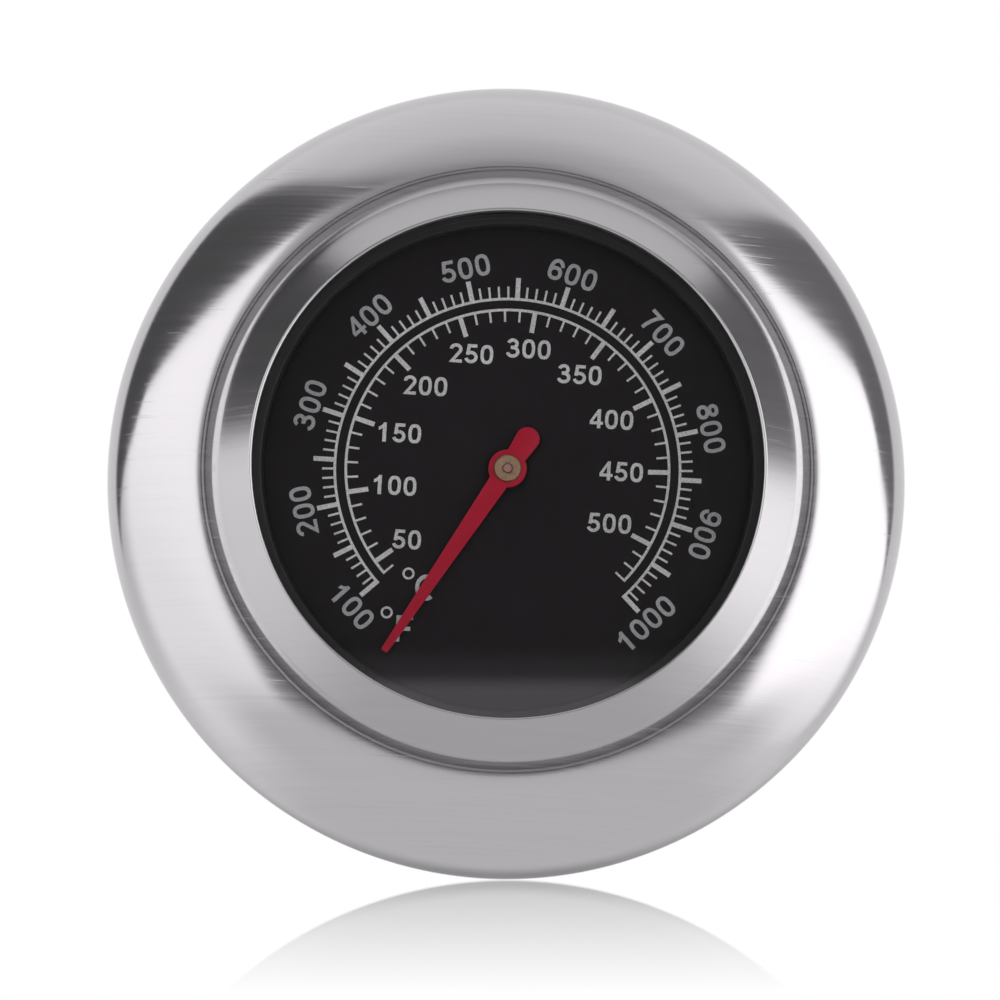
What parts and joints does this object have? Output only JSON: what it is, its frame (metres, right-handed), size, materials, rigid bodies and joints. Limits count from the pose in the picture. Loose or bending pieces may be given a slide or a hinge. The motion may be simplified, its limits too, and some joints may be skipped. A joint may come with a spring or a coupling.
{
  "type": "oven thermometer",
  "caption": "Panel-mounted round dial thermometer with a domed brushed steel bezel, bimetal stem, red pointer and wing-nut clamp.",
  "frame": {"origin": "centre of the panel's mounting hole, in the plane of the panel's front face, where the hex collar and the bezel's hem seat", "axes": "-Y is the way the dial faces, +Y runs along the stem into the oven, +Z is the dial's upright direction (the middle of its scale), +X is the viewer's right"},
  "size_m": [0.076, 0.065, 0.076],
  "materials": {
    "bezel_steel": "linear brushed, bright",
    "gasket_rubber": "matt black silicone",
    "lens_glass": "clear polished",
    "spacer_black": "satin black",
    "dial_black": "matt black with silver-white print",
    "housing_steel": "as pressed",
    "cover_steel": "as pressed",
    "backing_steel": "as pressed",
    "bushing_steel": "machined",
    "tube_steel": "bright drawn",
    "tip_steel": "ground weld",
    "plug_steel": "machined",
    "bimetal_strip": "rolled strip",
    "hub_brass": "machined",
    "guide_brass": "machined",
    "bearing_brass": "machined",
    "collar_brass": "machined",
    "shaft_steel": "bright drawn",
    "bush_brass": "dull, riveted over",
    "pointer_red": "satin crimson",
    "washer_steel": "as stamped",
    "lock_steel": "as coiled",
    "nut_steel": "cast and tumbled"
  },
  "bodies": {
    "case": {"outer_bezel": "bezel_steel", "lens_gasket": "gasket_rubber", "glass_lens": "lens_glass", "spacer_ring": "spacer_black", "dial_plate": "dial_black", "dial_carrier": "housing_steel", "back_cover": "cover_steel", "backing_washer": "backing_steel", "hex_bushing": "bushing_steel", "stem_tube": "tube_steel", "tip_cap": "tip_steel", "coil_anchor_plug": "plug_steel", "bimetal_coil": "bimetal_strip", "rear_guide_bush": "guide_brass", "front_bearing_bush": "bearing_brass"},
    "pointer": {"pointer": "pointer_red", "pointer_bush": "bush_brass", "pointer_shaft": "shaft_steel", "shaft_collar": "collar_brass", "coil_hub": "hub_brass"},
    "washers": {"flat_washer": "washer_steel", "lock_washer": "lock_steel"},
    "nut": {"wing_nut": "nut_steel"}
  },
  "joints": [
    {"name": "pointer_turn", "type": "hinge", "parent": "case", "child": "pointer", "pos_m": [0, 0, 0], "axis": [0, 1, 0], "range_deg": [-11.3, 284.5], "stiffness_Nm_per_rad": 0.0005, "deforming": ["bimetal_coil"]},
    {"name": "washer_slide", "type": "slide", "parent": "case", "child": "washers", "axis": [0, 1, 0], "range_m": [-0.0015, 0.01]},
    {"name": "nut_turn", "type": "hinge", "parent": "washers", "child": "nut", "pos_m": [0, 0, 0], "axis": [0, 1, 0], "range_deg": [-430, 2870]}
  ],
  "couplings": [
    {"joint": "washer_slide", "follows": "nut_turn", "m_per_rad": 0.00019894}
  ]
}
